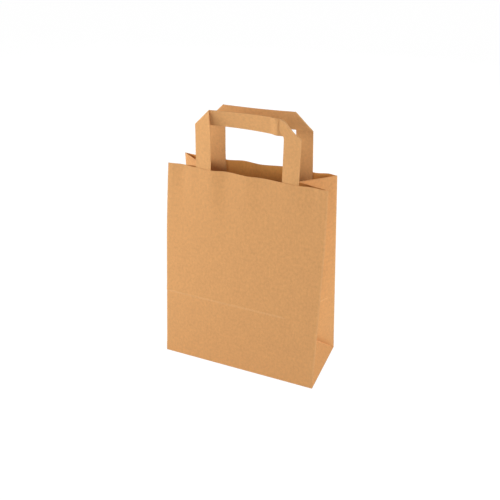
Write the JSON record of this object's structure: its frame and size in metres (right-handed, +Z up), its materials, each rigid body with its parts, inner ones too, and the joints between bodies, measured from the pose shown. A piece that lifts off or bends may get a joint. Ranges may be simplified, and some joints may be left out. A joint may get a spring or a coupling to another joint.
{
  "type": "paper carrier bag",
  "caption": "Block-bottom brown paper carrier bag with folded side gussets and flat folded paper handles at the mouth.",
  "frame": {"origin": "middle of the base, on the surface that the bag stands on", "axes": "+Z up, +X along the wide panels to the right seen from the front, +Y from the front panel to the back panel"},
  "size_m": [0.22, 0.1, 0.3586],
  "materials": {
    "kraft_sheet": "uncoated brown kraft paper with fine fibres and soft creases",
    "kraft_strip": "uncoated brown kraft paper folded into a stiff flat strip",
    "kraft_patch": "uncoated brown kraft paper"
  },
  "bodies": {
    "root": {"bag_body": "kraft_sheet", "front_handle": "kraft_strip", "back_handle": "kraft_strip", "front_handle_patch": "kraft_patch", "back_handle_patch": "kraft_patch"}
  },
  "joints": []
}
